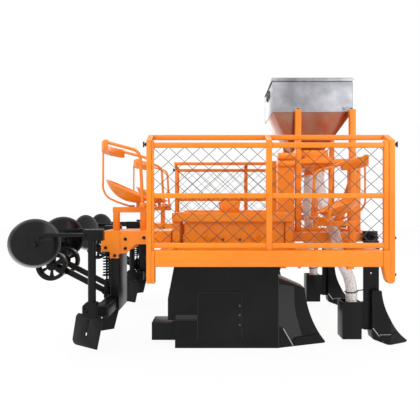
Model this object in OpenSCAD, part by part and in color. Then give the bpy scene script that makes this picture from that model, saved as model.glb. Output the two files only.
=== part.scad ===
// Two-row sugarcane planter for a tractor's three-point hitch.
// X points forwards, Y to the machine's left, Z up. The ground is Z = 0.
// Both rows are alike: a shape is drawn on the left row and mirrored to the right one.

/* [Rows and frame] */
// Distance between the two cane rows
row_spacing = 1200; // [1160:10:1300]
// Distance between the centre planes of the two side beams
frame_w = 2000; // [1960:10:2200]
// X of the rear end of the side beams
beam_rear = -443; // [-468:1:-433]
// Length of a side beam
beam_len = 1598; // [1580:1:1660]
// Height of the frame's underside above the ground
frame_z = 667; // [640:1:700]
// Height of the frame's beams
beam_h = 116; // [90:1:130]
// Width of a side beam
beam_t = 60; // [50:1:80]
// Width of a cross beam
cross_w = 100; // [80:1:110]
// X of the middle cross beam's rear face
mid_cross_x = 562; // [552:1:592]
// Width of a row rail
rail_w = 60; // [50:1:70]

/* [Side gates] */
// Width of a front corner post along the machine
post_w = 40; // [35:1:50]
// Width of a rear corner post along the machine
rear_post_w = 36; // [30:1:45]
// Depth of a corner post across the machine
post_t = 40; // [35:1:50]
// Height of the posts' tops
post_top = 1554; // [1500:1:1650]
// How far a post reaches below the frame
post_drop = 117; // [90:1:150]
// Thickness of the rear post's bracket
rear_bracket_t = 22; // [15:1:40]
// Thickness of the front post's bracket
front_bracket_t = 44; // [30:1:60]
// Width of the front end stile
stile_w = 35; // [30:1:45]
// Width of the rear end stile
rear_stile_w = 15; // [12:1:30]
// Width of the centre stile
centre_stile_w = 42; // [30:1:50]
// X of the centre stile's middle
centre_stile_x = 359; // [300:1:420]
// Depth of the gate's tubes
gate_t = 30; // [25:1:35]
// Height of a gate rail
gate_rail_h = 36; // [30:1:45]
// Height of the bottom rail's underside
low_rail_z = 797; // [785:1:830]
// Height of the middle rail's underside
mid_rail_z = 1147; // [1100:1:1200]
// Height of the upper rail's underside
high_rail_z = 1503; // [1450:1:1510]
// Height of the inward hand rail's underside
hand_rail_z = 1574; // [1565:1:1600]
// How far the hand rail lies inside the gate
hand_rail_in = 100; // [80:1:130]
// Width of a mesh diamond
mesh_pitch = 115; // [90:1:140]
// Height of a mesh diamond
mesh_rise = 105; // [80:1:130]
// Thickness of the mesh wire
wire_d = 4; // [3:0.5:6]

/* [Hopper] */
// Length of the hopper along the machine
hopper_l = 716; // [650:1:750]
// Width of the hopper
hopper_w = 512; // [480:1:530]
// Height of the hopper's upright walls
hopper_h = 300; // [250:1:350]
// X of the hopper's rear wall
hopper_x = 496; // [475:1:510]
// Height of the foot of the upright walls
hopper_z = 1933; // [1900:1:2000]
// Thickness of the hopper's sheet
hopper_wall = 4; // [3:0.5:6]
// Height of the funnel
funnel_h = 333; // [300:1:350]
// Length of the funnel's outlet
outlet_l = 280; // [240:1:320]
// Width of the funnel's outlet
outlet_w = 200; // [160:1:240]
// Depth of the lid's folded rim
lid_rim = 26; // [20:1:35]
// Gap between the lid and the bin
lid_gap = 5; // [5:0.5:8]
// Width of a stand post
stand_w = 50; // [40:1:60]
// X of the rear stand posts' middle
stand_rear_x = 713; // [705:1:750]
// X of the front stand posts' middle
stand_front_x = 1191; // [1170:1:1200]

/* [Hitch] */
// Distance between the shoulders of the two lower link pins
link_spread = 824; // [800:1:840]
// Diameter of a lower link pin
link_pin_d = 28.4; // [22:0.1:36.6]
// Length of a lower link pin outside its collar
link_pin_l = 95; // [80:1:100]
// Height of the top link's hole above the lower link pins
mast_h = 610; // [500:1:640]
// Diameter of the top link's hole
top_link_d = 25.7; // [19:0.1:32]
// Gap between the mast's ears
mast_gap = 86; // [70:1:100]
// X of the link pins
link_x = 1322; // [1312:1:1342]
// Height of the link pins
link_z = 830; // [825:1:840]

/* [Planting openers] */
// Width of an opener box
box_w = 300; // [280:1:310]
// X of the opener box's front wall
box_front = 467; // [445:1:490]
// X of the opener box's rear wall at the ground
box_rear = -328; // [-345:1:-318]
// Thickness of the opener's plate
box_wall = 8; // [6:1:12]
// Reach of the plough share in front of the box
share_l = 397; // [360:1:410]
// Height of the plough share's top
share_h = 537; // [500:1:560]
// Radius of the plough share's hollow front
share_r = 790; // [700:10:900]

/* [Fertiliser openers] */
// Width of the shank bar along the machine
shank_w = 120; // [100:1:130]
// Thickness of the shank bar
shank_t = 25; // [20:1:35]
// Height of the fertiliser share
point_h = 420; // [380:1:450]
// Width of the fertiliser share
point_w = 170; // [130:1:200]
// Width of the fertiliser boot
boot_w = 130; // [120:1:150]
// Length of the fertiliser boot
boot_l = 152; // [145:1:165]
// Outside diameter of the fertiliser hose
hose_d = 92; // [70:1:96]

/* [Cutters and tables] */
// Height of the cutter box
cutter_h = 192; // [160:1:220]
// Length of the cutter box
cutter_l = 758; // [700:1:762]
// Length of the cane passage
passage_l = 104; // [90:1:150]
// Width of the cane passage
passage_w = 170; // [140:1:190]
// Width of a feed table
table_w = 400; // [380:1:420]
// Depth of the feed table's tray
table_h = 65; // [50:1:80]
// Width of a table leg
table_leg = 57; // [45:1:60]
// Height of the feed funnel above the table's floor
feed_h = 149; // [120:1:170]

/* [Seats] */
// Diameter of a seat pan
pan_d = 375; // [350:1:400]
// Depth of a seat pan
pan_depth = 88; // [75:1:95]
// Thickness of a seat pan
pan_t = 5; // [4:0.5:8]
// Forward slope of a seat pan in degrees
pan_slope = 24.7; // [20:0.1:27]
// Height of the pan's rim at its middle
pan_z = 1221; // [1210:1:1250]
// Height of the front seats below the rear seats
front_seat_drop = 110; // [90:1:130]
// Height of the backrest's middle above the pan's rim
back_h = 327; // [300:1:360]
// Diameter of the arm tubes
arm_d = 24; // [20:1:30]
// Distance between the two arm tubes
arm_gap = 500; // [480:1:530]

/* [Rear units] */
// Distance from the rear cross beam to the leg's rear face
leg_reach = 410; // [400:1:440]
// Width of the leg across the row
leg_w = 280; // [260:1:290]
// Size of the square cross bar
bar_s = 88; // [70:1:95]
// Height of the cross bar's underside
bar_z = 302; // [290:1:310]
// Distance from the leg to the discs' middle
disc_reach = 514.5; // [505:0.5:530]
// Height of the discs' middle
disc_z = 815; // [805:1:830]
// Diameter of a covering disc
disc_d = 364; // [340:1:366]
// Angle of a disc's axle to the cross direction in degrees
disc_angle = 27; // [22:1:30]
// Distance of the outer disc's middle from the row
disc_out = 280; // [270:1:300]
// Distance of the inner disc's middle from the row
disc_in = 262; // [258:1:275]
// Distance from the leg to the press wheels' axle
wheel_reach = 450; // [440:1:470]
// Height of the press wheels' axle
wheel_z = 635; // [620:1:645]
// Diameter of a press wheel
wheel_d = 230; // [200:1:240]
// Width of a press wheel
wheel_w = 50; // [40:1:60]
// Distance of a press wheel's middle from the row
wheel_off = 140; // [135:1:145]
// Length of a cover plate
plate_l = 280; // [250:1:300]
// Height of a cover plate
plate_h = 240; // [220:1:255]

/* [Hidden] */
$fn = 48;

orange = "#F58A1C";
black = "#141414";
steel = "#C8C8CC";
hose_grey = "#D5D6D2";
seat_gap = 0.3;

// Places that follow from the sizes above
row_y = row_spacing / 2;
gate_y = frame_w / 2;
frame_top = frame_z + beam_h;
beam_front = beam_rear + beam_len;
rear_cross_x = beam_rear + 25;
front_cross_x = beam_front - cross_w;
post_rear_x = beam_rear - rear_bracket_t - rear_post_w;
post_front_x = beam_front + front_bracket_t;
post_foot = frame_z - post_drop;
rail_off = box_w / 2 - rail_w / 6;

function lerp(a, b, t) = a + (b - a) * t;
function unit(v) = v / norm(v);
// Centre of the circle of radius r through a and b, on the left of the way from a to b
function arc_centre(a, b, r) =
    let (d = (b - a) / 2, h = sqrt(r * r - d * d))
    (a + b) / 2 + h * unit([-d[1], d[0]]);

// The part's two like sides
module sides() {
    children();
    mirror([0, 1, 0]) children();
}
module side(s) {
    if (s < 0) mirror([0, 1, 0]) children();
    else children();
}
// An outline in X and Z, made t thick across the machine from y
module slab(y, t) {
    translate([0, y + t, 0]) rotate([90, 0, 0]) linear_extrude(t) children();
}
module box_at(x, y, z, l, w, h) {
    translate([x, y, z]) cube([l, w, h]);
}
// An outline in Y and Z, made l long from x
module slab_cross(x, l) {
    translate([x, 0, 0]) rotate([90, 0, 90]) linear_extrude(l) children();
}
// A tube of diameter d along points, as rings of n corners; up is never along the tube
module sweep(points, d, n, up = [0, 1, 0]) {
    m = len(points);
    dirs = [for (i = [0:m - 1]) unit(points[min(i + 1, m - 1)] - points[max(i - 1, 0)])];
    rings = [for (i = [0:m - 1])
        let (a = unit(cross(dirs[i], up)), b = cross(a, dirs[i]))
        for (k = [0:n - 1]) points[i] + d / 2 * (cos(360 * k / n) * a + sin(360 * k / n) * b)];
    walls = [for (i = [0:m - 2], k = [0:n - 1])
        let (p = i * n + k, q = i * n + (k + 1) % n) each [[p, q, q + n], [p, q + n, p + n]]];
    ends = [[for (k = [n - 1:-1:0]) k], [for (k = [0:n - 1]) (m - 1) * n + k]];
    polyhedron(rings, concat(walls, ends));
}
// Points on a path of corners, each rounded by radius r with n steps
function rounded(p, r, n) = [
    p[0],
    for (i = [1:len(p) - 2])
        let (u = unit(p[i - 1] - p[i]), v = unit(p[i + 1] - p[i]))
        for (k = [0:n]) let (t = k / n, a = p[i] + r * u, b = p[i] + r * v)
            lerp(lerp(a, p[i], t), lerp(p[i], b, t), t),
    p[len(p) - 1]];

// Main frame
module side_beams() color(orange) sides()
    box_at(beam_rear, gate_y - beam_t / 2, frame_z, beam_len, beam_t, beam_h);

module cross_beams() color(orange)
    for (x = [rear_cross_x, mid_cross_x, front_cross_x])
        box_at(x, -gate_y + beam_t / 2, frame_z, cross_w, frame_w - beam_t, beam_h);

module row_rails() color(orange) sides() for (s = [-1, 1])
    box_at(rear_cross_x + cross_w, row_y + s * rail_off - rail_w / 2, frame_z,
        mid_cross_x - rear_cross_x - cross_w, rail_w, beam_h);

// Three-point hitch: two rails on the cross beams, a tube between them and the mast
hitch_rail_w = 100;
hitch_rail_h = 80;
link_plate_t = 32;
hitch_rail_y = link_spread / 2 - link_plate_t - hitch_rail_w;
hitch_front = link_x + 50;
hitch_top = frame_top + hitch_rail_h;
mast_t = 20;
mast_w = 85;
mast_x = hitch_front - mast_w / 2 - 15;
top_link_z = link_z + mast_h;
collar_t = 12;
collar_d = 80;

module hitch_rails() color(orange) sides()
    box_at(mid_cross_x, hitch_rail_y, frame_top, hitch_front - mid_cross_x, hitch_rail_w, hitch_rail_h);

module hitch_tube() color(orange)
    box_at(hitch_front - 80, -hitch_rail_y, frame_top, 80, 2 * hitch_rail_y, hitch_rail_h);

module mast_plates() color(orange) sides() difference() {
    slab(mast_gap / 2, mast_t) union() {
        translate([mast_x - mast_w / 2, hitch_top]) square([mast_w, top_link_z - hitch_top]);
        translate([mast_x, top_link_z]) circle(d = mast_w);
    }
    translate([mast_x, mast_gap / 2 - 1, top_link_z]) rotate([-90, 0, 0])
        cylinder(d = top_link_d, h = mast_t + 2);
}

module mast_braces() color(orange) sides() slab(mast_gap / 2, mast_t)
    polygon([[mast_x - mast_w / 2, top_link_z - 130], [mast_x - mast_w / 2, top_link_z - 220],
        [beam_front - 10, frame_top], [beam_front - 75, frame_top]]);

module link_brackets() color(black) sides()
    box_at(link_x - 70, hitch_rail_y + hitch_rail_w, frame_top, hitch_front - link_x + 70,
        link_plate_t, 2 * (link_z - frame_top));

module link_pins() color(black) sides() translate([link_x, link_spread / 2, link_z]) rotate([-90, 0, 0])
    union() {
        cylinder(d = collar_d, h = collar_t);
        cylinder(d = link_pin_d, h = collar_t + link_pin_l);
    }

// Side gates
gate_in = gate_y - gate_t / 2;
stile_rear_x = post_rear_x + rear_post_w;
stile_front_x = post_front_x - stile_w;
rail_lengths = [[stile_rear_x + rear_stile_w, centre_stile_x - centre_stile_w / 2],
    [centre_stile_x + centre_stile_w / 2, stile_front_x]];
mesh_y = gate_in - wire_d - seat_gap;

foot_r = 28;
// Posts, and the gussets on them that carry the inward hand rail
module gate_posts() color(orange) sides() {
    box_at(post_rear_x, gate_y - post_t / 2, post_foot, rear_post_w, post_t, post_top - post_foot);
    slab(gate_y - post_t / 2, post_t) polygon([[post_front_x, post_top], [post_front_x, post_foot],
        for (a = [-90:15:0])
            [post_front_x + post_w - foot_r * (1 - cos(a)), post_foot + foot_r * (1 + sin(a))],
        [post_front_x + post_w, post_top]]);
    for (x = [[post_rear_x, rear_post_w], [centre_stile_x - post_w / 2, post_w], [post_front_x, post_w]])
        slab_cross(x[0], x[1]) polygon([[gate_y + gate_t / 2, post_top], [gate_in, post_top],
            [gate_y - hand_rail_in + gate_t / 2, hand_rail_z + 4],
            [gate_y - hand_rail_in + gate_t / 2, hand_rail_z + gate_rail_h]]);
}

module post_brackets() color(orange) sides() {
    box_at(stile_rear_x, gate_y - beam_t / 2, post_foot, rear_bracket_t, beam_t, frame_top - post_foot);
    slab(gate_y - beam_t / 2, beam_t)
        polygon([[beam_front, frame_z], [beam_front + 20, post_foot + foot_r],
            [post_front_x - 10, post_foot + 6], [post_front_x, post_foot],
            [post_front_x, frame_top], [beam_front, frame_top]]);
}

module gate_stiles() color(orange) sides() {
    for (x = [[stile_rear_x, rear_stile_w], [stile_front_x, stile_w],
            [centre_stile_x - centre_stile_w / 2, centre_stile_w]])
        box_at(x[0], gate_in, frame_top + seat_gap, x[1], gate_t, post_top - frame_top - seat_gap);
}

module gate_rails() color(orange) sides() {
    for (x = rail_lengths, z = [low_rail_z, mid_rail_z, high_rail_z])
        box_at(x[0], gate_in, z, x[1] - x[0], gate_t, gate_rail_h);
    box_at(post_rear_x, gate_y - hand_rail_in - gate_t / 2, hand_rail_z,
        post_front_x + post_w - post_rear_x, gate_t, gate_rail_h);
}

// Diamonds of wire over l by h, cut to the panel; mesh_at is one crossing
mesh_at = [56, 662];
module lattice(l, h) {
    rows = ceil(h / mesh_rise);
    intersection() {
        square([l, h]);
        for (a = [-1, 1], i = [-rows:ceil(l / mesh_pitch) + rows])
            translate([mesh_at[0] + i * mesh_pitch, mesh_at[1]]) rotate(a * atan(mesh_rise / mesh_pitch))
                translate([-2 * h, -wire_d / 2]) square([4 * h, wire_d]);
    }
}
module mesh(s) {
    side(s) slab(mesh_y, wire_d) translate([stile_rear_x, low_rail_z])
        lattice(post_front_x - stile_rear_x, high_rail_z + gate_rail_h - low_rail_z);
}
module mesh_right() color(steel) mesh(-1);
module mesh_left() color(steel) mesh(1);

// Fertiliser hopper
hopper_front = hopper_x + hopper_l;
hopper_mid = hopper_x + hopper_l / 2;
hopper_top = hopper_z + hopper_h;
lid_t = 4;
hinge_off = 14;
hinge_pin_d = 8;
hinge_clear = 0.3;
hinge_l = 40;
lug_room = 12;
hinge_y = hopper_w / 2 - 70;
hinge_x = hopper_front + hinge_off;
hinge_z = hopper_top + seat_gap + lid_t / 2;

// A block with upright ends that narrows from l0 by w0 at z0 to l1 by w1 at z1, on the middle x
module frustum(x, l0, w0, z0, l1, w1, z1) {
    corners = [[-1, -1], [1, -1], [1, 1], [-1, 1]];
    low = [for (c = corners) [x + c[0] * l0 / 2, c[1] * w0 / 2, z0]];
    high = [for (c = corners) [x + c[0] * l1 / 2, c[1] * w1 / 2, z1]];
    polyhedron(concat(low, high), [[0, 1, 2, 3], [7, 6, 5, 4],
        for (k = [0:3]) [k, k + 4, (k + 1) % 4 + 4, (k + 1) % 4]]);
}

module hopper_bin() color(steel) {
    difference() {
        box_at(hopper_x, -hopper_w / 2, hopper_z, hopper_l, hopper_w, hopper_h);
        box_at(hopper_x + hopper_wall, -hopper_w / 2 + hopper_wall, hopper_z - 1,
            hopper_l - 2 * hopper_wall, hopper_w - 2 * hopper_wall, hopper_h + 2);
    }
    sides() {
        box_at(hopper_front, hinge_y - 14, hinge_z - 26, hinge_off + hinge_pin_d, 8, 26 + hinge_pin_d);
        translate([hinge_x, hinge_y - 6, hinge_z]) rotate([-90, 0, 0])
            cylinder(d = hinge_pin_d, h = hinge_l + 6);
    }
}

module hopper_funnel() color(steel) difference() {
    frustum(hopper_mid, outlet_l, outlet_w, hopper_z - funnel_h, hopper_l, hopper_w, hopper_z);
    frustum(hopper_mid, outlet_l - 2 * hopper_wall, outlet_w - 2 * hopper_wall,
        hopper_z - funnel_h - 1, hopper_l - 2 * hopper_wall, hopper_w - 2 * hopper_wall, hopper_z + 1);
}

module hopper_lid() color(steel) difference() {
    union() {
        rim_l = hopper_l + lid_gap + lid_t;
        rim_w = hopper_w + 2 * (lid_gap + lid_t);
        difference() {
            box_at(hopper_x - lid_gap - lid_t, -rim_w / 2, hopper_top + seat_gap - lid_rim, rim_l, rim_w,
                lid_rim + lid_t);
            box_at(hopper_x - lid_gap, -rim_w / 2 + lid_t, hopper_top + seat_gap - lid_rim - 1, rim_l + 1,
                rim_w - 2 * lid_t, lid_rim + 1);
        }
        sides() {
            translate([hinge_x, hinge_y + 2, hinge_z]) rotate([-90, 0, 0])
                cylinder(d = 2 * hinge_pin_d, h = hinge_l - 4);
            box_at(hopper_front - 20, hinge_y + 2, hopper_top + seat_gap, hinge_off + 20, hinge_l - 4, lid_t);
        }
    }
    sides() {
        translate([hinge_x, hinge_y, hinge_z]) rotate([-90, 0, 0])
            cylinder(d = hinge_pin_d + 2 * hinge_clear, h = hinge_l);
        // Room for the bin's hinge lug
        box_at(hopper_front - lug_room, hinge_y - 20, hopper_top, lug_room + 1, 20, lid_t + 1);
    }
}

stand_y = hitch_rail_y;
stand_top = hopper_z + 8;
tie_h = 40;
meter_z = 1440;
meter_h = 90;

module hopper_stand() color(orange) sides() {
    for (x = [stand_rear_x, stand_front_x]) {
        box_at(x - stand_w / 2, stand_y, hitch_top, stand_w, stand_w, stand_top - hitch_top);
        box_at(x - stand_w / 2, hopper_w / 2, hopper_z, stand_w, stand_y - hopper_w / 2,
            stand_top - hopper_z);
    }
}

// Metering unit under the funnel, carried between two ties
spout_y = 200;
spout_x = hopper_mid + 73;
spout_z = meter_z - 40;
meter_x = hopper_mid - 77;
meter_l = 235;
// Rounded housing between the metering box and the funnel
housing_x = hopper_mid - 157;
housing_l = 291;
housing_z = 1517;
housing_h = 74;
housing_r = 26;

module metering_unit() color(orange) {
    box_at(meter_x, -stand_y, meter_z, meter_l, 2 * stand_y, meter_h);
    slab_cross(housing_x, housing_l) translate([-stand_y + housing_r, housing_z + housing_r])
        offset(r = housing_r) square([2 * (stand_y - housing_r), housing_h - 2 * housing_r]);
    box_at(hopper_mid - outlet_l / 2, -outlet_w / 2, meter_z + meter_h, outlet_l, outlet_w,
        hopper_z - funnel_h - meter_z - meter_h);
    sides() translate([spout_x, spout_y, spout_z]) cylinder(d = hose_d - 4, h = meter_z - spout_z);
}
module stand_ties() color(orange) sides() box_at(stand_rear_x + stand_w / 2, stand_y, meter_z + 25,
    stand_front_x - stand_rear_x - stand_w, stand_w, tie_h);

// Drive cases between the hitch rails and the cutter boxes
case_w = 80;
case_l = 142;
case_x = mid_cross_x - 35;
case_top = 1554;
case_foot_l = 71;
case_foot_h = 80;
cover_d = 60;
cover_drops = [31, 96];
drive_d = 45;
drive_x = case_x - 43;

module drive_cases() color(orange) sides() {
    box_at(case_x, hitch_rail_y, hitch_top, case_l, case_w, case_top - hitch_top);
    box_at(case_x - case_foot_l, hitch_rail_y, hitch_top, case_foot_l, case_w, case_foot_h);
    for (d = cover_drops) translate([case_x, hitch_rail_y + case_w, case_top - d]) rotate([0, 90, 0])
        cylinder(d = cover_d, h = case_l);
    translate([drive_x, hitch_rail_y + case_w, hitch_top + case_foot_h / 2]) rotate([-90, 0, 0])
        cylinder(d = drive_d, h = row_y - box_w / 2 - hitch_rail_y - case_w);
}

// Fertiliser openers
shank_x = beam_front + 23;
shank_top = frame_top + 30;
point_back = shank_x + 50;
point_face = shank_x + shank_w;
point_tip = point_face + 224;
point_r = 530;
boot_x = shank_x - 38 - boot_l;
boot_z = 38;
boot_h = 294;
clamp_t = 12;

module shank_clamps() color(black) sides() for (s = [-1, 1])
    box_at(beam_front, row_y + s * (shank_t + clamp_t) / 2 - clamp_t / 2, frame_z,
        shank_x + shank_w - beam_front, clamp_t, beam_h);

module fert_shanks() color(black) sides() difference() {
    box_at(shank_x, row_y - shank_t / 2, boot_z + 60, shank_w, shank_t, shank_top - boot_z - 60);
    slab(row_y - shank_t, 2 * shank_t) point_outline();
    for (z = [0, 70]) translate([shank_x + shank_w / 2, row_y - shank_t, frame_z - 115 + z])
        rotate([-90, 0, 0]) cylinder(d = 18, h = 2 * shank_t);
}

// Side view of the hollow-faced share
module point_outline() {
    a = [point_face, point_h];
    b = [point_tip, 17];
    difference() {
        polygon([[point_back, point_h], a, [point_tip + 1, point_h], [point_tip, 10], [point_tip - 8, 0],
            [point_tip - 188, 0], [point_back + 8, 33], [point_back, 70]]);
        translate(arc_centre(a, b, point_r)) circle(r = point_r, $fn = 160);
    }
}

module fert_shares() color(black) sides() intersection() {
    slab(row_y - point_w / 2, point_w) point_outline();
    translate([0, row_y, -1]) linear_extrude(point_h + 2) polygon([[point_back - 1, -50],
        [point_back - 1, 50], [point_face + 60, point_w / 2], [point_tip + 2, 12], [point_tip + 2, -12],
        [point_face + 60, -point_w / 2]]);
}

module fert_boots() color(black) sides() {
    difference() {
        box_at(boot_x, row_y - boot_w / 2, boot_z, boot_l, boot_w, boot_h);
        box_at(boot_x + box_wall, row_y - boot_w / 2 + box_wall, boot_z - 1, boot_l - 2 * box_wall,
            boot_w - 2 * box_wall, boot_h + 2);
    }
    box_at(boot_x + boot_l, row_y - shank_t / 2, boot_z + 65, shank_x - boot_x - boot_l, shank_t,
        boot_h - 75);
}

// Route of the left fertiliser hose, from the metering unit's spout into the boot
hose_route = [[927, 200, 1399.7], [927, 200, 1370], [927, 200, 1340], [930, 232, 1240],
    [940, 320, 1090], [977, 405, 930], [999, 490, 790], [1000, 548, 690], [1020, 585, 610],
    [1056, 598, 530], [1076, 600, 450], [1080, 600, 375], [1080, 600, 300]];
function smooth(p, n) = [for (i = [0:len(p) - 2], k = [0:n - 1])
    let (a = p[max(i - 1, 0)], b = p[i], c = p[i + 1], d = p[min(i + 2, len(p) - 1)], t = k / n)
    0.5 * (2 * b + (c - a) * t + (2 * a - 5 * b + 4 * c - d) * t * t + (3 * b - a - 3 * c + d) * t * t * t),
    p[len(p) - 1]];
module fert_hose(s) side(s) sweep(smooth(hose_route, 2), hose_d, 12);
module fert_hose_right() color(hose_grey) fert_hose(-1);
module fert_hose_left() color(hose_grey) fert_hose(1);

// Planting openers
tail_l = 188;
tail_z = 42;
tail_h = 136;
// Heel that sticks out behind the box, and the lean of its front wall below the frame
heel = 55;
heel_low = 215;
heel_top = 381;
front_lean = 41;
front_lean_z = 570;

// Side view of the opener box, drawn in by e
module box_outline(e) {
    polygon([[box_rear + e, -e], [box_front - e, -e], [box_front - e, front_lean_z],
        [box_front + front_lean - e, frame_z + e], [box_rear + e, frame_z + e],
        [box_rear - heel + e, heel_top],
        [box_rear - heel + e, heel_low + e], [box_rear + e, heel_low + e]]);
}
module opener_box(s) side(s) difference() {
    union() {
        slab(row_y - box_w / 2, box_w) box_outline(0);
        box_at(box_rear - tail_l, row_y - box_w / 2 + 60, tail_z, tail_l + 1, box_w - 120, tail_h);
    }
    slab(row_y - box_w / 2 + box_wall, box_w - 2 * box_wall) box_outline(box_wall);
    box_at(box_rear - tail_l - 1, row_y - box_w / 2 + 60 + box_wall, tail_z - 1, tail_l + 2 + box_wall,
        box_w - 120 - 2 * box_wall, tail_h - box_wall + 1);
}
module opener_box_right() color(black) opener_box(-1);
module opener_box_left() color(black) opener_box(1);

module share_outline() {
    a = [box_front + 219, share_h - 90];
    b = [box_front + share_l - 4, 12];
    difference() {
        polygon([[box_front, 0], [box_front + share_l - 10, 0], [box_front + share_l, 12],
            [box_front + share_l, share_h - 90], a, [box_front, share_h]]);
        translate(arc_centre(a, b, share_r)) circle(r = share_r, $fn = 200);
    }
}
module opener_shares() color(black) sides() intersection() {
    slab(row_y - box_w, 2 * box_w) share_outline();
    translate([0, row_y, -1]) linear_extrude(share_h + 2) polygon([[box_front - 1, -box_w / 2],
        [box_front, -box_w / 2], [box_front + share_l + 1, -30], [box_front + share_l + 1, 30],
        [box_front, box_w / 2], [box_front - 1, box_w / 2]]);
}

cover_l = 340;
cover_h = 370;
cover_x = -154;
cover_z = 62;
module opener_covers() color(black) sides() slab(row_y + box_w / 2, 6) difference() {
    translate([cover_x, cover_z]) square([cover_l, cover_h]);
    translate([cover_x - 1, cover_z + cover_h - 39]) difference() {
        square(40);
        translate([40, 0]) circle(r = 39);
    }
}

// Cutter boxes, feed tables and feed funnels
table_rear = rear_cross_x + 72;
table_l = mid_cross_x + 13 - table_rear;
cutter_x = table_rear + table_leg + 39;
table_z = frame_top + cutter_h;
table_t = 8;
passage_x = 49;
funnel_over = 52;

module passage(z, h) {
    box_at(passage_x, row_y - passage_w / 2, z, passage_l, passage_w, h);
}
module cutter_box(s) side(s) difference() {
    box_at(cutter_x, row_y - box_w / 2, frame_top, cutter_l, box_w, cutter_h);
    passage(frame_top - 1, cutter_h + 2);
}
module cutter_box_right() color(orange) cutter_box(-1);
module cutter_box_left() color(orange) cutter_box(1);

module feed_tables() color(orange) sides() difference() {
    box_at(table_rear, row_y - table_w / 2, table_z, table_l, table_w, table_h);
    box_at(table_rear + table_t, row_y - table_w / 2 + table_t, table_z + table_t, table_l - 2 * table_t,
        table_w - 2 * table_t, table_h);
    passage(table_z - 1, table_t + 2);
}

module table_legs() color(orange) sides()
    for (x = [table_rear, table_rear + table_l - table_leg], s = [-1, 1]) box_at(x, row_y + s * rail_off - 25,
        frame_top, table_leg, 50, cutter_h);

module feed_funnels() color(orange) sides() translate([0, row_y, 0]) difference() {
    frustum(passage_x + passage_l / 2, passage_l + 10, passage_w + 10, table_z + table_t,
        passage_l + funnel_over, passage_w + funnel_over, table_z + table_t + feed_h);
    frustum(passage_x + passage_l / 2, passage_l - 6, passage_w - 6, table_z + table_t - 1,
        passage_l + funnel_over - 16, passage_w + funnel_over - 16, table_z + table_t + feed_h + 1);
}

// Seats: each row has one behind its table and one in front of it that faces back
bracket_top = 900;
rear_seat_x = rear_cross_x - 300;
front_seat_x = front_cross_x - 68;
// Place along X, height of the rim, heading, height of what the stand's foot is on
seats = [[rear_seat_x, pan_z, 0, bracket_top], [front_seat_x, pan_z - front_seat_drop, 180, frame_top]];
pan_r = (pan_d * pan_d / 4 + pan_depth * pan_depth) / (2 * pan_depth);
stand_drop = 137;
stand_tube = 44;
stand_bar = 50;
foot_x = -96;
second_leg_x = 121;
arm_foot_x = 160;
foot_bar = 40;
foot_bar_h = 28;
stem_x = 81;
stem_d = 36;
// Curved backrest: X of its rear face at the middle, radius, thickness, height
back_mid = -195;
back_r = 535;
back_t = 30;
back_z = 72;
hoop_d = 16;
hoop_x = back_mid - hoop_d / 2 - seat_gap;
hoop_z = seat_gap + hoop_d / 2 - stand_drop;

module at_seats() {
    sides() for (s = seats) translate([s[0], row_y, s[1]]) rotate(s[2]) children();
}
module pan_ball(r) {
    rotate([0, pan_slope, 0]) translate([0, 0, pan_r - pan_depth]) sphere(r = r, $fn = 64);
}
module seat_pans() color(orange) at_seats() difference() {
    pan_ball(pan_r);
    pan_ball(pan_r - pan_t);
    rotate([0, pan_slope, 0]) translate([-pan_d, -pan_d, 0]) cube(2 * pan_d);
}

// Plan of the backrest, grown by e
module back_band(e) translate([back_mid + back_r, 0]) intersection() {
    difference() {
        circle(r = back_r + e, $fn = 128);
        circle(r = back_r - back_t - e, $fn = 128);
    }
    translate([-2 * back_r, -arm_gap / 2 - back_t / 2 - e])
        square([2 * back_r, arm_gap + back_t + 2 * e]);
}
module backrests() color(orange) at_seats() translate([0, 0, back_h - back_z / 2]) linear_extrude(back_z)
    back_band(0);

module seat_arms() color(orange) at_seats() for (s = [-1, 1]) difference() {
    sweep(rounded([[-115, s * arm_gap / 2, back_h + 20], [arm_foot_x - 20, s * arm_gap / 2, back_h - 47],
        [arm_foot_x, s * arm_gap / 2, foot_bar_h + 1 - stand_drop]], 60, 5), arm_d, 12);
    translate([0, 0, back_h - back_z]) linear_extrude(2 * back_z) back_band(seat_gap);
    box_at(arm_foot_x - foot_bar, s * arm_gap / 2 - foot_bar, -stand_drop, 2 * foot_bar, 2 * foot_bar,
        foot_bar_h + 2 + seat_gap);
}

// A springy rod from the stand, round the back of the pan and up to the backrest
module seat_hoops() color(orange) at_seats() sweep([for (q = smooth([[hoop_x, back_h], [hoop_x, 200],
    [hoop_x - 1, 81], [hoop_x, 8], [-170, -54], [-110, -88], [-40, -114], [10, hoop_z], [50, hoop_z]], 3))
    [q[0], 0, max(q[1], hoop_z)]], hoop_d, 10);

module seat_stands() color(orange) sides() for (s = seats) translate([s[0], row_y, s[1]]) rotate(s[2]) {
    box_at(foot_x - stand_bar / 2, -stand_bar / 2, -stand_drop - stand_tube, arm_foot_x + stand_bar - foot_x
        + stand_bar / 2, stand_bar, stand_tube);
    box_at(arm_foot_x - foot_bar / 2, -arm_gap / 2 - foot_bar / 2, -stand_drop, foot_bar, arm_gap + foot_bar,
        foot_bar_h);
    for (x = s[2] == 0 ? [foot_x, second_leg_x] : [foot_x])
        box_at(x - stand_tube / 2, -stand_bar / 2, s[3] - s[1], stand_tube, stand_bar,
            s[1] - s[3] - stand_drop);
    difference() {
        translate([stem_x, 0, -stand_drop]) cylinder(d = stem_d, h = stand_drop);
        pan_ball(pan_r + seat_gap);
    }
}

// Rear units: bracket, leg and cross bar
leg_x = rear_cross_x - leg_reach;
leg_t = 68;
leg_top = 742;
bracket_t = 12;
bar_seat = 52;
bar_x = leg_x + bar_seat - bar_s;
bar_top = bar_z + bar_s;
spindle_l = 85;
disc_x = leg_x - disc_reach;
arm_out_y = row_y + disc_out + spindle_l * cos(disc_angle);
arm_in_y = row_y - disc_in + spindle_l * cos(disc_angle);
clamp_w = 50;

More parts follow.
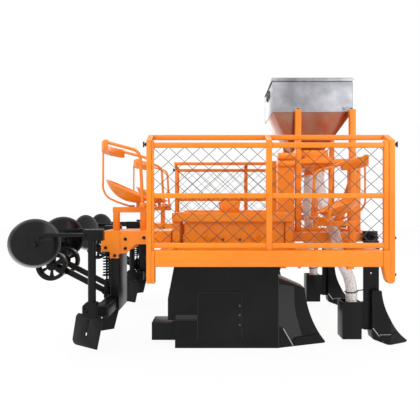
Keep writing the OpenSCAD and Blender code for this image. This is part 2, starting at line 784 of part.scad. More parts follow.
module bracket_outline() {
    polygon([[leg_x - 55, bracket_top], [leg_x - 67, bracket_top - 43], [leg_x - 67, leg_top],
        [leg_x, leg_top], [leg_x, leg_top - 52], [leg_x + leg_t, leg_top - 52], [leg_x + leg_t, leg_top - 17],
        [leg_x + 130, leg_top - 11], [leg_x + 200, frame_top + 15], [rear_cross_x, frame_top + 15],
        [rear_cross_x, frame_top], [rear_cross_x + 60, frame_top],
        [rear_cross_x + 60, bracket_top]]);
}
module rear_brackets() color(orange) sides() {
    for (s = [-1, 1])
        slab(row_y + s * (leg_w + bracket_t) / 2 - bracket_t / 2, bracket_t) bracket_outline();
    box_at(leg_x - 55, row_y - leg_w / 2, bracket_top - bracket_t, rear_cross_x + 115 - leg_x, leg_w,
        bracket_t);
}

module rear_legs() color(black) sides() slab(row_y - leg_w / 2, leg_w)
    polygon([[leg_x, bar_top], [leg_x, leg_top], [leg_x + leg_t, leg_top], [leg_x + leg_t, bar_z - 20],
        [leg_x + bar_seat, bar_z], [leg_x + bar_seat, bar_top]]);

module cross_bars() color(black) sides()
    box_at(bar_x, arm_in_y - clamp_w / 2, bar_z, bar_s, arm_out_y - arm_in_y + clamp_w, bar_s);

clamp_l = 99;
clamp_z = bar_z - 9;
clamp_top = bar_top + 16;
module clamp_outline() difference() {
    polygon([[bar_x, clamp_z], [bar_x, clamp_top], [bar_x - 75, clamp_top], [bar_x - clamp_l, clamp_top - 24],
        [bar_x - clamp_l, clamp_z + 18], [bar_x - 60, clamp_z]]);
    for (p = [[-82, 68], [-64, 46]]) translate([bar_x + p[0], clamp_z + p[1]]) circle(d = 13);
}
module bar_clamps() color(black) sides() for (y = [arm_in_y, arm_out_y])
    slab(y - clamp_w / 2, clamp_w) clamp_outline();

plate_t = 8;
plate_yaw = 30;
plate_shear = 58;
plate_lead = 40;
slot_w = 16;
slot_l = 120;
slot_at = [-plate_l * 0.5, plate_h - 42];
module cover_outline() difference() {
    polygon([[-plate_l + 30, plate_h], [-20, plate_h], [0, plate_h - 20], [-plate_shear, 0],
        [-plate_l - plate_shear + 60, 0], [-plate_l - plate_shear + 36, 10],
        [-plate_l - plate_shear + 25, 34], [-plate_l + 6, plate_h - 24]]);
    translate(slot_at) circle(d = 26);
    translate(slot_at) rotate(-105) translate([0, -slot_w / 2]) square([slot_l, slot_w]);
}
module cover_plates() color(black) sides() for (y = [[arm_in_y, -1], [arm_out_y, 1]])
    translate([bar_x + plate_lead, y[0], clamp_z - plate_h]) rotate(y[1] * plate_yaw)
        slab(-plate_t / 2, plate_t) cover_outline();

// Covering discs on arms that stand on the cross bar
strut_d = 56;
strut_x = bar_x - 37;
sleeve_rear = 57;
sleeve_l = 140;
sleeve_h = 78;
sleeve_w = 52;
arm_h = 26;
arm_z = disc_z + 57;
arm_t = 24;
hub_x = disc_x + spindle_l * sin(disc_angle);
spindle_d = 20;
hub_h = 20;
disc_r = 520;
disc_t = 5;

module disc_struts() color(black) sides() for (y = [arm_in_y, arm_out_y])
    translate([strut_x, y, clamp_top]) cylinder(d = strut_d, h = arm_z + (arm_h - sleeve_h) / 2 - clamp_top);

module on_disc(y) {
    translate([disc_x, y, disc_z]) rotate([-90, 0, -disc_angle]) children();
}
// Y of each arm and of its disc's middle
disc_places = [[arm_in_y, row_y - disc_in], [arm_out_y, row_y + disc_out]];
module disc_arms() color(black) sides() for (k = disc_places) {
    box_at(hub_x - 30, k[0] - arm_t / 2, arm_z, strut_x - hub_x + 30, arm_t, arm_h);
    box_at(strut_x - sleeve_rear, k[0] - sleeve_w / 2, arm_z + (arm_h - sleeve_h) / 2, sleeve_l, sleeve_w,
        sleeve_h);
    box_at(hub_x - 30, k[0] - arm_t / 2, disc_z - 30, 60, arm_t, arm_z - disc_z + 31);
    on_disc(k[1]) {
        translate([0, 0, hub_h + seat_gap]) cylinder(d = 34, h = spindle_l - hub_h);
        translate([0, 0, -20]) cylinder(d = spindle_d, h = spindle_l + 20);
        translate([0, 0, -disc_t - 15]) cylinder(d = 36, h = 12 - seat_gap);
    }
}

module cover_disc(s, y) side(s) on_disc(y) rotate_extrude($fn = 96) {
    intersection() {
        translate([spindle_d / 2 + hinge_clear, -disc_r / 2]) square([disc_d / 2 - spindle_d / 2, disc_r]);
        translate([0, -disc_r]) difference() {
            circle(r = disc_r, $fn = 200);
            circle(r = disc_r - disc_t, $fn = 200);
        }
    }
    translate([spindle_d / 2 + hinge_clear, -disc_t / 2]) square([32, hub_h + disc_t / 2]);
}
module disc_right_outer() color(black) cover_disc(-1, row_y + disc_out);
module disc_right_inner() color(black) cover_disc(-1, row_y - disc_in);
module disc_left_outer() color(black) cover_disc(1, row_y + disc_out);
module disc_left_inner() color(black) cover_disc(1, row_y - disc_in);

// Press wheels on a fork behind the leg
pivot = [leg_x - 50, bar_top + 37];
axle = [leg_x - wheel_reach, wheel_z];
ear = [leg_x - 40, bar_top + 116];
fork_y = 90;
fork_t = 16;
fork_w = 44;
axle_d = 24;
pivot_d = 20;

// A strip of width w from a to b
module strip(a, b, w) translate(a) rotate(atan2(b[1] - a[1], b[0] - a[0])) translate([0, -w / 2])
    square([norm(b - a), w]);
module fork_outline() difference() {
    union() {
        for (p = [pivot, axle]) translate(p) circle(r = 30);
        translate(ear) circle(r = 18);
        strip(pivot, axle, fork_w);
        strip(pivot, ear, 30);
    }
    translate(pivot) circle(d = pivot_d + 2 * seat_gap);
    translate(axle) circle(d = axle_d + 2 * seat_gap);
}
module press_arms() color(black) sides() for (s = [-1, 1])
    slab(row_y + s * fork_y - fork_t / 2, fork_t) fork_outline();

module press_pivots() color(black) sides() {
    for (s = [-1, 1]) slab(row_y + s * 62 - 10, 20) union() {
        translate(pivot) circle(r = 32);
        translate([pivot[0], pivot[1] - 32]) square([leg_x - pivot[0], 64]);
    }
    translate([pivot[0], row_y - fork_y - 16, pivot[1]]) rotate([-90, 0, 0])
        cylinder(d = pivot_d, h = 2 * fork_y + 32);
}

spring_d = 60;
spring_wire = 10;
spring_turns = 7;
spring_z = ear[1] + 49;
spring_h = 165;
spring_steps = 8;
// Half height of the six-sided wire
wire_half = spring_wire / 2 * cos(30);
module springs() color(black) sides() for (s = [-1, 1]) translate([ear[0], row_y + s * fork_y, 0]) {
    translate([0, 0, ear[1] + 18]) cylinder(d = 14, h = bracket_top - bracket_t - ear[1] - 18);
    for (z = [spring_z - 6, spring_z + spring_h]) translate([0, 0, z]) cylinder(d = spring_d + 8, h = 6);
    sweep([for (i = [0:spring_turns * spring_steps])
        let (a = 360 * i / spring_steps, r = (spring_d - spring_wire) / 2)
        [r * cos(a), r * sin(a), spring_z + wire_half + seat_gap
            + (spring_h - 2 * (wire_half + seat_gap)) * i / spring_turns / spring_steps]],
        spring_wire, 6, [0, 0, 1]);
}

rim_t = 26;
web_t = 12;
spoke_n = 6;
module wheel() difference() {
    union() {
        rotate_extrude() translate([wheel_d / 2 - rim_t, -wheel_w / 2]) square([rim_t, wheel_w]);
        linear_extrude(web_t, center = true) difference() {
            circle(d = wheel_d - rim_t);
            for (i = [0:spoke_n - 1]) rotate(360 * i / spoke_n) intersection() {
                difference() {
                    circle(d = wheel_d - 2 * rim_t - 8);
                    circle(d = 84);
                }
                polygon([[0, 0], [200, 70], [200, -70]]);
            }
        }
        cylinder(d = 60, h = wheel_w - 8, center = true);
    }
    cylinder(d = axle_d + 2 * seat_gap, h = 2 * wheel_w, center = true);
}
module press_wheels(s) side(s) translate([axle[0], row_y, axle[1]]) rotate([-90, 0, 0]) {
    for (z = [-wheel_off, wheel_off]) translate([0, 0, z]) wheel();
    cylinder(d = axle_d, h = 2 * wheel_off + wheel_w, center = true);
}
module press_wheels_right() color(black) press_wheels(-1);
module press_wheels_left() color(black) press_wheels(1);

side_beams();
cross_beams();
row_rails();
hitch_rails();
hitch_tube();
mast_plates();
mast_braces();
link_brackets();
link_pins();
gate_posts();
post_brackets();
gate_stiles();
gate_rails();
mesh_right();
mesh_left();
hopper_bin();
hopper_funnel();
hopper_lid();
hopper_stand();
stand_ties();
metering_unit();
drive_cases();
fert_hose_right();
fert_hose_left();
shank_clamps();
fert_shanks();
fert_shares();
fert_boots();
opener_box_right();
opener_box_left();
opener_shares();
opener_covers();
cutter_box_right();
cutter_box_left();
feed_tables();
table_legs();
feed_funnels();
seat_pans();
backrests();
seat_arms();
seat_hoops();
seat_stands();
rear_brackets();
rear_legs();
cross_bars();
bar_clamps();
cover_plates();
disc_struts();
disc_arms();
press_arms();
press_pivots();
springs();
press_wheels_right();
press_wheels_left();
disc_right_outer();
disc_right_inner();
disc_left_outer();
disc_left_inner();
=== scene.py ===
"""Looks of a two-row sugarcane planter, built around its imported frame."""
import math

import bmesh
import bpy
from mathutils import Matrix, Vector


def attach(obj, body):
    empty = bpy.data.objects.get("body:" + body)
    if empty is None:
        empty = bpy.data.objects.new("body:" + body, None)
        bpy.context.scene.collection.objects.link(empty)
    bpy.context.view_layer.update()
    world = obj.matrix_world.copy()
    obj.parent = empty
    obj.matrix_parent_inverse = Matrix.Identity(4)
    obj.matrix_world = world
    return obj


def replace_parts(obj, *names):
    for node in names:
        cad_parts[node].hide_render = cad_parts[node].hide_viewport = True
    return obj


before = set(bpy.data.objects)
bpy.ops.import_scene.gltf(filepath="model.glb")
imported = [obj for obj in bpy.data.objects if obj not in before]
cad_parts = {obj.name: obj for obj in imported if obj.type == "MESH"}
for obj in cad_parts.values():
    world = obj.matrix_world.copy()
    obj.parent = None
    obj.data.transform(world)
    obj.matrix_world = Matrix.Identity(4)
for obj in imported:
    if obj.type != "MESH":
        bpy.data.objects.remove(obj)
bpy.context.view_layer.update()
scene = bpy.context.scene

# Studio: a white cove with broad soft lamps, seen from the machine's right side at the height
# of a standing person. The floor keeps a faint shadow under the openers.
scene.view_settings.view_transform = "Standard"
IMAGE = 420
FOCAL_PX = 390
VANISHING_PX = (214, 205)
EYE = (-0.028, -3.746, 1.10)
SENSOR = 36.0


def linear(code):
    """An sRGB hex colour as linear red, green, blue and alpha."""
    parts = [int(code[i:i + 2], 16) / 255 for i in (1, 3, 5)]
    return [c / 12.92 if c <= 0.04045 else ((c + 0.055) / 1.055) ** 2.4 for c in parts] + [1.0]


def feed(node, inputs):
    """Gives a node's inputs a value each, or the socket that leads to them."""
    for name, value in dict(inputs).items():
        if isinstance(value, bpy.types.NodeSocket):
            node.id_data.links.new(value, node.inputs[name])
        else:
            node.inputs[name].default_value = value


def add(tree, kind, inputs=(), **settings):
    """A node of that kind with its settings and inputs."""
    made = tree.nodes.new(kind)
    for name, value in settings.items():
        setattr(made, name, value)
    feed(made, inputs)
    return made


def spread(tree, value, start, end):
    """The value mapped from one range to another."""
    return add(tree, "ShaderNodeMapRange", {"Value": value, "From Min": start[0], "From Max": start[1],
                                            "To Min": end[0], "To Max": end[1]}).outputs[0]


camera = bpy.data.objects.new("camera", bpy.data.cameras.new("camera"))
camera.location = EYE
camera.rotation_euler = (math.radians(90), 0, 0)
camera.data.sensor_width = SENSOR
camera.data.lens = SENSOR * FOCAL_PX / IMAGE
camera.data.shift_x = (IMAGE / 2 - VANISHING_PX[0]) / IMAGE
camera.data.shift_y = (VANISHING_PX[1] - IMAGE / 2) / IMAGE
scene.collection.objects.link(camera)
scene.camera = camera


def seen_directly(tree):
    """One where a ray comes from the camera, a mirror or clear plastic, and zero elsewhere."""
    path = add(tree, "ShaderNodeLightPath")
    camera_ray, glossy_ray, clear_ray = (path.outputs["Is %s Ray" % kind]
                                         for kind in ("Camera", "Glossy", "Transmission"))
    pair = add(tree, "ShaderNodeMath", {0: camera_ray, 1: glossy_ray}, operation="MAXIMUM").outputs[0]
    return add(tree, "ShaderNodeMath", {0: pair, 1: clear_ray}, operation="MAXIMUM").outputs[0]


# The cove's light on its walls and overhead, and the rise of the gaze, as a sine, where each begins
WALL_LIGHT, CEILING_LIGHT = 0.30, 1.0
WALL_RISE, CEILING_RISE = 0.05, 0.75
world = bpy.data.worlds.new("cove")
scene.world = world
world.use_nodes = True
sky = world.node_tree
sky.nodes.clear()
gaze = add(sky, "ShaderNodeTexCoord").outputs["Generated"]
rise = add(sky, "ShaderNodeSeparateXYZ", {0: gaze}).outputs["Z"]
level = spread(sky, rise, (WALL_RISE, CEILING_RISE), (WALL_LIGHT, CEILING_LIGHT))
lit = add(sky, "ShaderNodeBackground", {"Color": linear("#FFFFFF"), "Strength": level})
shown = add(sky, "ShaderNodeBackground", {"Color": linear("#FFFFFF"), "Strength": 1.0})
mixed = add(sky, "ShaderNodeMixShader", {0: seen_directly(sky), 1: lit.outputs[0], 2: shown.outputs[0]})
add(sky, "ShaderNodeOutputWorld", {"Surface": mixed.outputs[0]})

# Half the floor's side, and the share of its white that takes no shadow where it is seen
FLOOR_HALF = 14.0
FLOOR_GLOW = 0.93
floor_mesh = bpy.data.meshes.new("floor")
floor_mesh.from_pydata([(x, y, 0) for x, y in ((-1, -1), (1, -1), (1, 1), (-1, 1))], [], [(0, 1, 2, 3)])
floor = bpy.data.objects.new("floor", floor_mesh)
floor.scale = (FLOOR_HALF, FLOOR_HALF, 1)
scene.collection.objects.link(floor)
white_floor = bpy.data.materials.new("white_floor")
white_floor.use_nodes = True
ground = white_floor.node_tree
ground.nodes.clear()
matt = add(ground, "ShaderNodeBsdfDiffuse", {"Color": linear("#F4F4F4")})
glow = add(ground, "ShaderNodeEmission", {"Color": linear("#FFFFFF"), "Strength": 1.0})
share = add(ground, "ShaderNodeMath", {0: seen_directly(ground), 1: FLOOR_GLOW}, operation="MULTIPLY")
both = add(ground, "ShaderNodeMixShader", {0: share.outputs[0], 1: matt.outputs[0], 2: glow.outputs[0]})
add(ground, "ShaderNodeOutputMaterial", {"Surface": both.outputs[0]})
floor_mesh.materials.append(white_floor)

# Name, place, aim, size and power of each lamp
LAMPS = (("key_lamp", (-2.6, -4.6, 4.4), (0.0, 0.0, 0.9), 3.2, 128),
         ("fill_lamp", (3.8, -3.6, 2.6), (0.3, 0.0, 0.9), 3.0, 60),
         ("top_lamp", (0.2, 0.6, 5.6), (0.0, 0.0, 0.8), 3.6, 95),
         ("back_lamp", (0.4, 5.0, 3.4), (0.0, 0.0, 0.9), 3.4, 80))
for name, place, aim, size, power in LAMPS:
    lamp = bpy.data.lights.new(name, "AREA")
    lamp.size = size
    lamp.energy = power
    holder = bpy.data.objects.new(name, lamp)
    holder.location = place
    holder.rotation_euler = (Vector(aim) - Vector(place)).to_track_quat("-Z", "Y").to_euler()
    scene.collection.objects.link(holder)

# Fertiliser hoses: clear spiral-ribbed PVC, pushed on the metering unit's spouts and led down into
# the boots. Dust of the granules inside makes the clear wall look grey and speckled.
HOSE_D = 0.092
HOSE_RIB = 0.0022
RIB_PITCH = 0.016
SPECK_MM = 9.0
HOSE_ROUTE = ((0.927, 0.200, 1.3997), (0.927, 0.200, 1.370), (0.927, 0.200, 1.340), (0.930, 0.232, 1.240),
              (0.940, 0.320, 1.090), (0.977, 0.405, 0.930), (0.999, 0.490, 0.790), (1.000, 0.548, 0.690),
              (1.020, 0.585, 0.610), (1.056, 0.598, 0.530), (1.076, 0.600, 0.450), (1.080, 0.600, 0.375),
              (1.080, 0.600, 0.300))
SIDES = (("right", -1), ("left", 1))


def piece(name, shape, material, body, crease=32):
    """A new piece from a mesh under work, on its body."""
    mesh = bpy.data.meshes.new(name)
    bmesh.ops.recalc_face_normals(shape, faces=shape.faces)
    shape.to_mesh(mesh)
    shape.free()
    mesh.materials.append(material)
    mesh.shade_smooth()
    mesh.set_sharp_from_angle(angle=math.radians(crease))
    made = bpy.data.objects.new(name, mesh)
    scene.collection.objects.link(made)
    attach(made, body)
    return made


def smooth(points, steps):
    """Points of a Catmull-Rom curve through the given ones, as in the part's source."""
    last = len(points) - 1
    out = []
    for i in range(last):
        a, b, c, d = (Vector(points[k]) for k in (max(i - 1, 0), i, i + 1, min(i + 2, last)))
        for k in range(steps):
            t = k / steps
            out.append(0.5 * (2 * b + (c - a) * t + (2 * a - 5 * b + 4 * c - d) * t * t
                              + (3 * b - a - 3 * c + d) * t ** 3))
    return out + [Vector(points[last])]


def tube(shape, path, radius, sides=12, closed=False):
    """A round bar along a path; radius is one number, or one for each point."""
    path = [Vector(p) for p in path]
    count = len(path)
    radii = radius if isinstance(radius, (list, tuple)) else [radius] * count
    ways = []
    for i in range(count):
        ahead = path[(i + 1) % count] if closed else path[min(i + 1, count - 1)]
        behind = path[i - 1] if closed else path[max(i - 1, 0)]
        ways.append((ahead - behind).normalized())
    out = ways[0].orthogonal().normalized()
    rings = []
    for point, way, size in zip(path, ways, radii):
        out = (out - way * out.dot(way)).normalized()
        across = way.cross(out)
        rings.append([shape.verts.new(point + size * (math.cos(a) * out + math.sin(a) * across))
                      for a in (math.tau * k / sides for k in range(sides))])
    pairs = list(zip(rings, rings[1:])) + ([(rings[-1], rings[0])] if closed else [])
    for low, high in pairs:
        for k in range(sides):
            shape.faces.new((low[k], low[(k + 1) % sides], high[(k + 1) % sides], high[k]))
    if not closed:
        shape.faces.new(rings[0][::-1])
        shape.faces.new(rings[-1])


def surface(name):
    """A new finish: its material, its node tree, its shader and the place on the object."""
    made = bpy.data.materials.new(name)
    made.use_nodes = True
    tree = made.node_tree
    return made, tree, tree.nodes["Principled BSDF"], add(tree, "ShaderNodeTexCoord").outputs["Object"]


def noise(tree, place, size_mm, detail, **more):
    """Cloudy noise with patches of about that size."""
    return add(tree, "ShaderNodeTexNoise",
               {"Vector": place, "Scale": 1000 / size_mm, "Detail": detail, **more}).outputs["Fac"]


def blend(tree, share, first, second):
    """A colour between two, each a socket or a linear colour."""
    return add(tree, "ShaderNodeMix", {0: share, 6: first, 7: second}, data_type="RGBA").outputs[2]


# Soft PVC, extruded round a spiral: a milky clear wall with a soft shine and grey specks
pvc, tree, shader, place = surface("ribbed_pvc")
speck = spread(tree, noise(tree, place, SPECK_MM, 4.0), (0.42, 0.68), (0, 1))
feed(shader, {"Base Color": blend(tree, speck, linear("#F0F1F1"), linear("#B4B5B5")), "Roughness": 0.32,
              "IOR": 1.53, "Transmission Weight": 0.06})

for word, s in SIDES:
    route = smooth([(x, s * y, z) for x, y, z in HOSE_ROUTE], 3)
    dense = smooth(route, 12)  # about six rings to a rib
    run = 0.0
    ribs = []
    for i, point in enumerate(dense):
        run += (point - dense[i - 1]).length if i else 0.0
        ribs.append(HOSE_D / 2 - HOSE_RIB * (0.5 + 0.5 * math.cos(math.tau * run / RIB_PITCH)))
    form = bmesh.new()
    tube(form, dense, ribs, 18)
    hose = piece("hose_" + word, form, pvc, "frame", 80)
    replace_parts(hose, "fert_hose_" + word)

# Main frame: rolled steel box tubes, welded into a ladder and sprayed with orange gloss enamel.
# The sprayed film is even, with a fine orange peel in its gloss.
PEEL_MM = 5.0
DRIFT_MM = 420.0
# How far a fitted piece sinks into what it sits on, and a washer's thickness
SINK = 0.001
WASHER_T = 0.003


def ripple(tree, height, strength):
    """A surface that rises and falls by up to a millimetre."""
    return add(tree, "ShaderNodeBump", {"Height": height, "Strength": strength, "Distance": 0.001}).outputs[0]


def enamel(name, colour, drift, roughness, peel, gloss):
    """Gloss enamel sprayed on steel: a smooth film with slow drift in its colour and its shine."""
    made, tree, shader, place = surface(name)
    slow = noise(tree, place, DRIFT_MM, 5.0)
    feed(shader, {"Base Color": blend(tree, slow, linear(colour), linear(drift)),
                  "Roughness": spread(tree, slow, (0, 1), (roughness * 0.75, roughness * 1.3)),
                  "Normal": ripple(tree, noise(tree, place, PEEL_MM, 1.0), peel),
                  "IOR": 1.5, "Specular IOR Level": gloss})
    return made


# Sprayed orange enamel: a full warm colour under a soft, slightly rippled shine
orange = enamel("orange_enamel", "#F4951A", "#E67416", 0.34, 0.10, 0.4)


def rolled(node, radius, material, body="frame", crease=32):
    """The node's own shape with its edges rolled or ground round, which stands for it."""
    shape = bmesh.new()
    shape.from_mesh(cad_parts[node].data)
    bmesh.ops.remove_doubles(shape, verts=shape.verts, dist=1e-5)
    bmesh.ops.dissolve_limit(shape, angle_limit=math.radians(0.5), verts=shape.verts, edges=shape.edges)
    sharp = [e for e in shape.edges if len(e.link_faces) == 2 and e.calc_face_angle(0) > math.radians(35)]
    bmesh.ops.bevel(shape, geom=sharp, offset=radius, segments=3, profile=0.5, affect="EDGES",
                    clamp_overlap=True)
    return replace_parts(piece(node + "_steel", shape, material, body, crease), node)


def bolt(shape, at, way, across, height):
    """A washer and a hexagon head with a chamfered top, seated at a point and pointing along a way."""
    turn = Vector((0, 0, 1)).rotation_difference(Vector(way)).to_matrix().to_4x4()
    base = Matrix.Translation(Vector(at)) @ turn
    corner = across / 2 / math.cos(math.pi / 6)
    washer = 0.64 * across
    seat, shoulder, top = WASHER_T, WASHER_T + 0.8 * height, WASHER_T + height
    for count, low, high, start, end in ((24, washer, washer, -SINK, seat), (6, corner, corner, seat, shoulder),
                                         (6, corner, 0.82 * corner, shoulder, top)):
        bmesh.ops.create_cone(shape, cap_ends=True, segments=count, radius1=low, radius2=high,
                              depth=end - start, matrix=base @ Matrix.Translation((0, 0, (start + end) / 2)))


def weld(shape, a, b, size=0.004, step=0.006):
    """A weld bead along an edge, as a row of ripples one step apart."""
    a, b = Vector(a), Vector(b)
    count = max(2, int((b - a).length / step) * 2)
    tube(shape, [a.lerp(b, i / count) for i in range(count + 1)],
         [size * (1.0 if i % 2 else 0.78) for i in range(count + 1)], 8)


def block(shape, centre, size):
    """A box about its centre."""
    bmesh.ops.create_cube(shape, size=1.0, matrix=Matrix.Translation(centre) @ Matrix.Diagonal((*size, 1.0)))


BEAM_ROUND = 0.008
for name, radius in (("side_beams", BEAM_ROUND), ("cross_beams", BEAM_ROUND), ("row_rails", 0.007),
                     ("hitch_rails", 0.007), ("hitch_tube", 0.007), ("post_brackets", 0.004)):
    rolled(name, radius, orange)

FRAME_LOW, FRAME_TOP = 0.667, 0.783
BEAM_IN, BEAM_MIDDLE = 0.970, 1.000
CROSS_FACES = (-0.418, -0.318, 0.562, 0.662, 1.055, 1.155)
BEAM_BOLTS = (0.448, 0.470, 0.574)
TAB_X, TAB_SIZE = 0.930, (0.042, 0.040, 0.018)
form = bmesh.new()
for s in (-1, 1):
    for x in CROSS_FACES:
        weld(form, (x, s * BEAM_IN, FRAME_LOW + BEAM_ROUND), (x, s * BEAM_IN, FRAME_TOP - BEAM_ROUND))
    block(form, (TAB_X, s * BEAM_MIDDLE, FRAME_LOW + SINK - TAB_SIZE[2] / 2), TAB_SIZE)
    for x in BEAM_BOLTS:
        bolt(form, (x, s * BEAM_MIDDLE, FRAME_LOW), (0, 0, -1), 0.019, 0.010)
piece("frame_welds", form, orange, "frame", 60)

# Hitch: two upright mast plates with a brace behind, bored for the top link's pin, and black cheeks
# with turned pins for the lower links, bolted to the ends of the hitch rails.
# Sprayed black enamel: nearly no colour, so its weak gloss is what shows its forms
black = enamel("black_enamel", "#020202", "#202022", 0.28, 0.12, 0.15)
for name in ("mast_plates", "mast_braces"):
    rolled(name, 0.002, orange)
for name in ("link_brackets", "link_pins"):
    rolled(name, 0.003, black)
CHEEK_Y, CHEEK_BOLT_Z = 0.412, 0.795
form = bmesh.new()
for s in (-1, 1):
    for x in (1.268, 1.358):
        bolt(form, (x, s * CHEEK_Y, CHEEK_BOLT_Z), (0, s, 0), 0.019, 0.010)
piece("hitch_bolts", form, black, "frame")

# Side gates: square tubes welded into two panels a side, with an inward hand rail on gussets.
# The corner posts are bolted to their brackets, with T-handled screws that hold the gate.
for name, radius in (("gate_posts", 0.005), ("gate_stiles", 0.004), ("gate_rails", 0.006)):
    rolled(name, radius, orange)
# Each outer face of the posts with the way it looks and the heights of its bolts
POST_FACES = ((-0.501, -1, (0.730, 0.600)), (1.239, 1, (0.869, 0.610)))
SCREW_Z, SCREW_OUT, HANDLE_HALF = 1.526, 0.022, 0.020
form = bmesh.new()
for s in (-1, 1):
    y = s * BEAM_MIDDLE
    for x, way, heights in POST_FACES:
        end = x + way * SCREW_OUT
        tube(form, [(x - way * 2 * SINK, y, SCREW_Z), (end, y, SCREW_Z)], 0.006)
        tube(form, [(end, y, SCREW_Z - HANDLE_HALF), (end, y, SCREW_Z + HANDLE_HALF)], 0.0055)
        bolt(form, (x, y, SCREW_Z), (way, 0, 0), 0.024, 0.010)
        for z in heights:
            bolt(form, (x, y, z), (way, 0, 0), 0.019, 0.011)
piece("gate_screws", form, black, "frame")
STILE_EDGES = (-0.450, 0.338, 0.380, 1.164)
RAIL_EDGES = (0.797, 0.833, 1.147, 1.183, 1.503, 1.539)
RAIL_HALF = 0.0155
form = bmesh.new()
for s in (-1, 1):
    outer, inner = s * (BEAM_MIDDLE + RAIL_HALF), s * (BEAM_MIDDLE - RAIL_HALF)
    for x in STILE_EDGES:
        for z in RAIL_EDGES:
            weld(form, (x, outer, z), (x, inner, z), 0.003)
piece("gate_welds", form, orange, "frame", 60)

# Chain-link of the gates: galvanised wire bent into flat zigzags, each hooked through the next one,
# and laced behind the tubes. The zinc has dulled to a dark grey.
MESH_PITCH, MESH_RISE = 0.115, 0.105
MESH_CROSSING = (-0.409, 1.459)
MESH_X, MESH_Z = (-0.462, 1.196), (0.799, 1.537)
MESH_Y = 0.9805
WIRE_R, WIRE_LEAN = 0.0022, 0.0018
# Hot-dipped zinc, weathered: a dark grey metal with a faint spangle. The spangle is drawn coarse to show.
SPANGLE_MM = 25.0
zinc, tree, shader, place = surface("dull_zinc")
spangle = noise(tree, place, SPANGLE_MM, 3.0)
feed(shader, {"Base Color": blend(tree, spangle, linear("#45423E"), linear("#66625D")), "Metallic": 0.85,
              "Roughness": 0.42})

# Share of a half pitch that a bend takes up on each side of its peak, with the share of the lean there
BEND = ((-0.12, 0.4), (0.0, 1.0), (0.12, 0.4))
half_pitch, half_rise = MESH_PITCH / 2, MESH_RISE / 2
first = math.floor((MESH_X[0] - MESH_CROSSING[0]) / half_pitch) - 1
last = math.ceil((MESH_X[1] - MESH_CROSSING[0]) / half_pitch)
low = math.floor((MESH_Z[0] - MESH_CROSSING[1]) / half_rise)
top = math.ceil((MESH_Z[1] - MESH_CROSSING[1]) / half_rise)
for word, s in SIDES:
    form = bmesh.new()
    for i in range(first, last + 1):
        path = []
        for k in range(low, top + 1):
            peak = (k + i) % 2
            x = MESH_CROSSING[0] + (i + peak) * half_pitch
            z = MESH_CROSSING[1] + k * half_rise
            way = 1 if peak else -1
            for part, share in BEND:
                path.append((x - way * abs(part) * half_pitch, s * (MESH_Y + way * WIRE_LEAN * share),
                             z + part * half_rise))
        inside = [p for p in path if MESH_Z[0] <= p[2] <= MESH_Z[1] and MESH_X[0] <= p[0] <= MESH_X[1]]
        if len(inside) > 2:
            # A zigzag that leaves the gate and comes back is cut there
            runs = [[inside[0]]]
            for a, b in zip(inside, inside[1:]):
                if (Vector(b) - Vector(a)).length > MESH_RISE:
                    runs.append([])
                runs[-1].append(b)
            for bent in runs:
                if len(bent) > 1:
                    tube(form, bent, WIRE_R, 6)
    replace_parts(piece("chain_link_" + word, form, zinc, "frame", 80), "mesh_" + word)

# Fertiliser hopper: a bin and funnel folded and welded from cold-rolled stainless sheet, with a
# folded lid on two pin hinges at its front. The sheet is mottled, partly by handling and partly with a painted
# reflection of cloudy light.
MOTTLE_MM = 240.0
ROLLING_MM = 2.5
# Cold-rolled stainless: a grey mirror blurred along the rolling, with lighter patches that are partly smudges
# and partly a painted reflection of cloudy light
stainless, tree, shader, place = surface("cold_rolled_stainless")
smudge_and_painted_reflection = spread(tree, noise(tree, place, MOTTLE_MM, 4.0, Roughness=0.6), (0.32, 0.68), (0, 1))
along = add(tree, "ShaderNodeMapping", {"Vector": place, "Scale": (0.03, 1.0, 1.0)}).outputs[0]
feed(shader, {"Base Color": blend(tree, smudge_and_painted_reflection, linear("#7E7E84"), linear("#ACACB1")), "Metallic": 1.0,
              "Roughness": spread(tree, noise(tree, along, ROLLING_MM, 2.0), (0, 1), (0.28, 0.46))})

rolled("hopper_bin", 0.0015, stainless)
rolled("hopper_lid", 0.0012, stainless, "lid")
BIN_X, BIN_Y, BIN_Z = (0.496, 1.212), 0.256, (1.933, 2.233)
LID_SKIRT = 0.034
RIPPLE = 0.005
form = bmesh.new()
for s in (-1, 1):
    y = s * BIN_Y
    weld(form, (BIN_X[0], y, BIN_Z[0]), (BIN_X[1], y, BIN_Z[0]), 0.0024, RIPPLE)
    for x in BIN_X:
        weld(form, (x, y, BIN_Z[0] + 0.004), (x, y, BIN_Z[1] - LID_SKIRT), 0.0022, RIPPLE)
for x in BIN_X:
    weld(form, (x, -BIN_Y, BIN_Z[0]), (x, BIN_Y, BIN_Z[0]), 0.0024, RIPPLE)
piece("hopper_seams", form, stainless, "frame", 60)
PAD_SIZE, PAD_Z = (0.086, 0.004, 0.042), 1.957
form = bmesh.new()
for s in (-1, 1):
    for x in (0.713, 1.168):
        block(form, (x, s * (BIN_Y + 0.0015), PAD_Z), PAD_SIZE)
        for side in (-0.030, 0.030):
            bolt(form, (x + side, s * (BIN_Y + 0.0035), PAD_Z + 0.005), (0, s, 0), 0.013, 0.007)
piece("hopper_pads", form, stainless, "frame")
LATCH_Z, LATCH_SIZE = 2.140, (0.006, 0.030, 0.080)
CATCH = ((-0.011, 2.110), (-0.011, 2.176), (0.011, 2.176), (0.011, 2.110))
LEVER_Z = 2.116
form = bmesh.new()
for y in (-0.05, 0.05):
    block(form, (BIN_X[0] - LATCH_SIZE[0] / 2, y, LATCH_Z), LATCH_SIZE)
    tube(form, [(BIN_X[0] - 0.012, y + side, z) for side, z in CATCH], 0.003, 8, True)
    tube(form, [(BIN_X[0] - 0.008, y + side, LEVER_Z) for side in (-0.016, 0.016)], 0.006, 10)
    for z in (2.128, 2.160):
        bolt(form, (BIN_X[0] - LATCH_SIZE[0], y, z), (-1, 0, 0), 0.009, 0.004)
piece("lid_latches", form, zinc, "frame")
